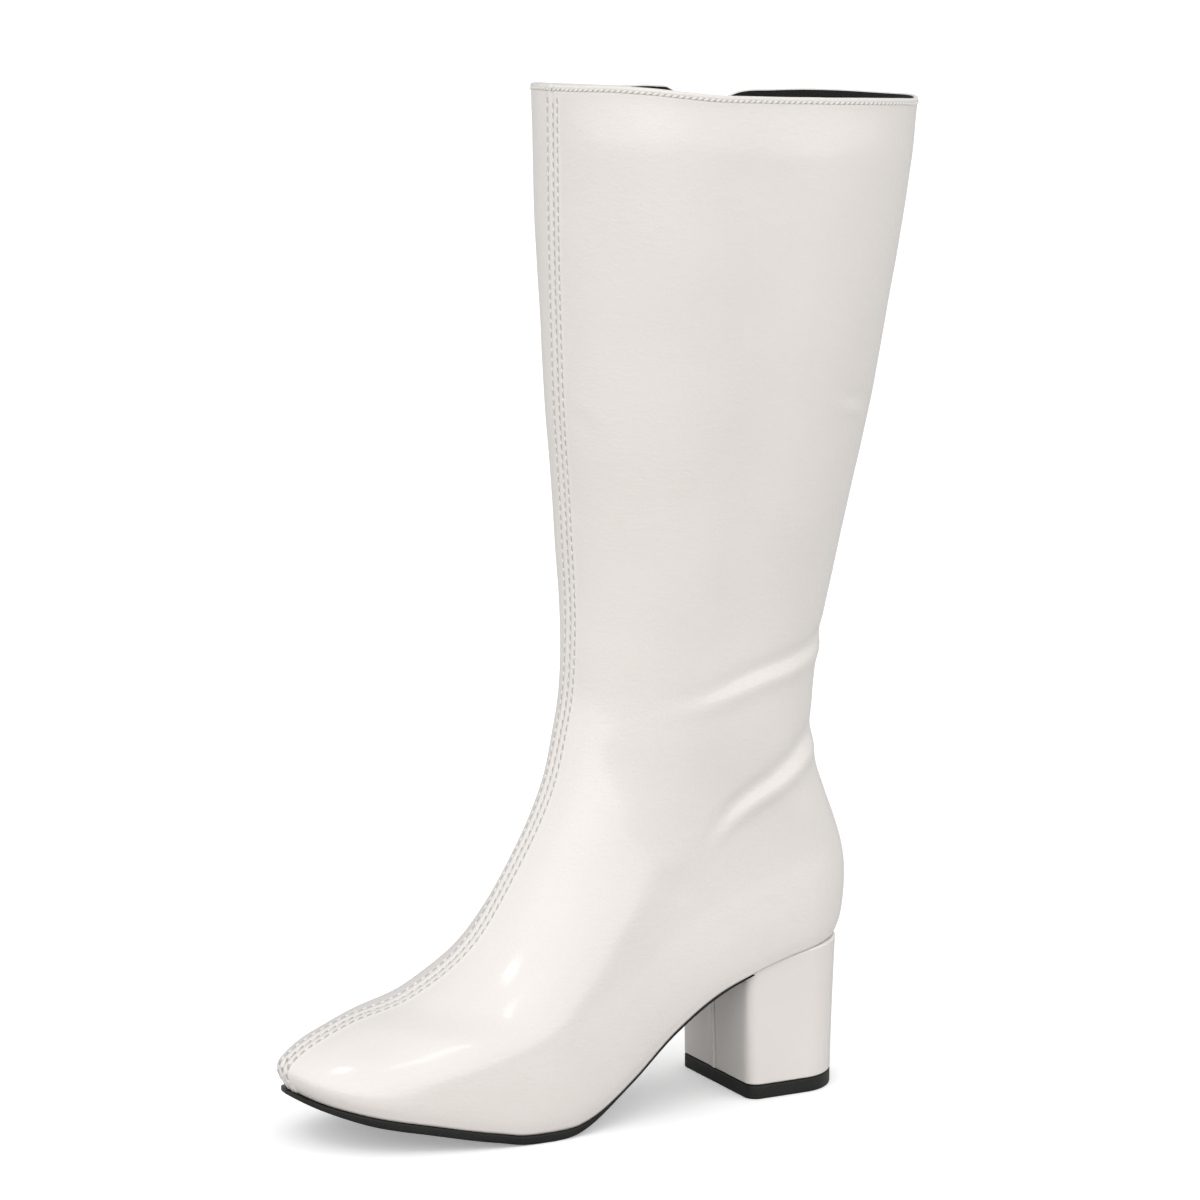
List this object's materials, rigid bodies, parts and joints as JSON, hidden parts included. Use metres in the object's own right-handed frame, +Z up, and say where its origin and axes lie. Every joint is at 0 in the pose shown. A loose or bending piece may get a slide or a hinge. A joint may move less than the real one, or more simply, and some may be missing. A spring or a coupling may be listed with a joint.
{
  "type": "mid-calf boot",
  "caption": "Women's left mid-calf boot with a soft square toe, a raised front seam, an inner side zip and a covered block heel.",
  "frame": {"origin": "middle of the heel tip's ground face, on the floor", "axes": "+Z up, the toe points to -Y, +X is the outer side of the foot (the wearer's left)"},
  "size_m": [0.1137, 0.2697, 0.4003],
  "materials": {
    "upper": "glossy patent, warm off-white",
    "heel_cover": "glossy patent, warm off-white",
    "sole": "satin black",
    "lining": "matt black",
    "zip_coil": "satin off-white",
    "zip_metal": "polished nickel"
  },
  "bodies": {
    "boot": {"upper": "upper", "outsole": "sole", "heel_block": "heel_cover", "heel_tip": "sole", "insole": "lining", "zip_teeth": "zip_coil", "zip_slider": "zip_metal"},
    "pull_tab": {"zip_tab": "zip_metal"}
  },
  "joints": [
    {"name": "pull_tab_swing", "type": "hinge", "parent": "boot", "child": "pull_tab", "pos_m": [-0.05764, -0.01409, 0.37752], "axis": [0, 1, 0], "range_deg": [0, 150]}
  ]
}
